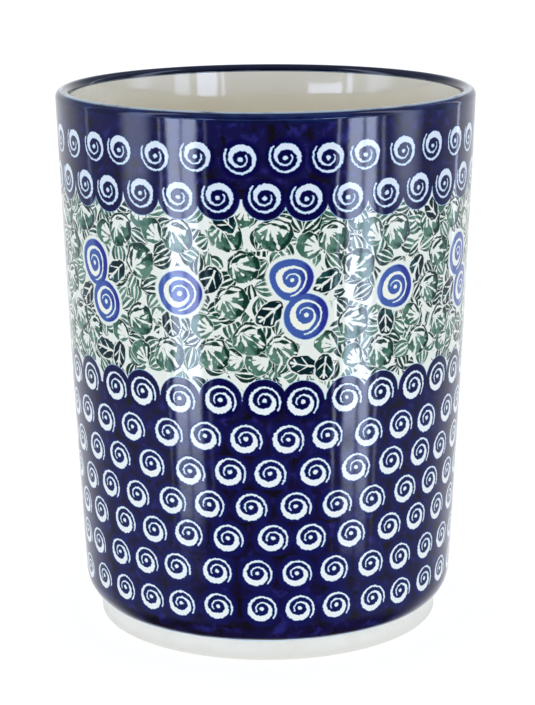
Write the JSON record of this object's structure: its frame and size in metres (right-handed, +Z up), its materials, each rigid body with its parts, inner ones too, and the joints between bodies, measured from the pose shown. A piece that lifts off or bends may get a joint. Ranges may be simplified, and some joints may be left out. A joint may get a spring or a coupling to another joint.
{
  "type": "stamped_stoneware_crock",
  "caption": "Tall handleless stoneware crock with a gently tapered wall, white spirals stamped on cobalt and a cream band of green leaves and blue berries",
  "frame": {"origin": "on the ground at the centre of the foot ring", "axes": "+Z up the crock's axis of symmetry, towards the open mouth; -Y faces the front of the decoration"},
  "size_m": [0.133, 0.133, 0.172],
  "materials": {
    "bare_clay": "matte",
    "liner_glaze": "gloss",
    "cobalt_glaze": "gloss",
    "lip_glaze": "gloss",
    "leaf_glaze": "gloss"
  },
  "bodies": {
    "root": {"clay_body": "bare_clay", "inner_glaze": "liner_glaze", "lip_glaze": "lip_glaze", "upper_cobalt_band": "cobalt_glaze", "leaf_band": "leaf_glaze", "lower_cobalt_band": "cobalt_glaze", "underside_glaze": "liner_glaze"}
  },
  "joints": []
}
